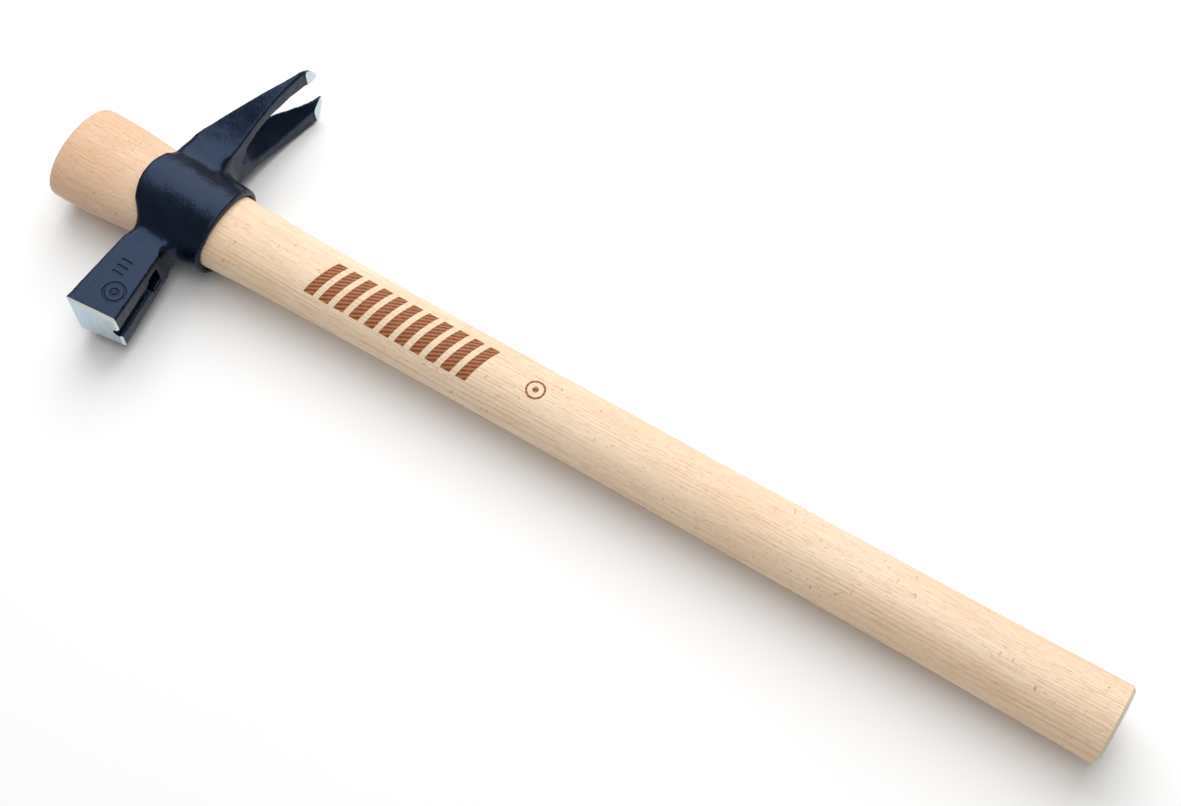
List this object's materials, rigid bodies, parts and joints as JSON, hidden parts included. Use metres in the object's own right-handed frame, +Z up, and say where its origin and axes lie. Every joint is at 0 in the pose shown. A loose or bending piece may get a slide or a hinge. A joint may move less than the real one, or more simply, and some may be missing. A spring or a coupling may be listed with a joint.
{
  "type": "formwork claw hammer",
  "caption": "Formwork claw hammer: forged head with a tall eye, a square poll with a nail groove and a two-prong claw, on a flared slip-through beech handle.",
  "frame": {"origin": "middle of the footprint, on the surface that the hammer lies on", "axes": "+X down the handle to the grip end, +Y along the head to the claw tips, +Z up, square to the flat side the hammer lies on"},
  "size_m": [0.451, 0.1346, 0.035],
  "materials": {
    "beech": "fine sanded, unvarnished",
    "forged_steel": "semi-gloss blue-black enamel over forged steel, face and claw tips ground bright",
    "magnet": "dull nickel"
  },
  "bodies": {
    "root": {"handle": "beech", "hammer_head": "forged_steel", "nail_magnet": "magnet"}
  },
  "joints": []
}
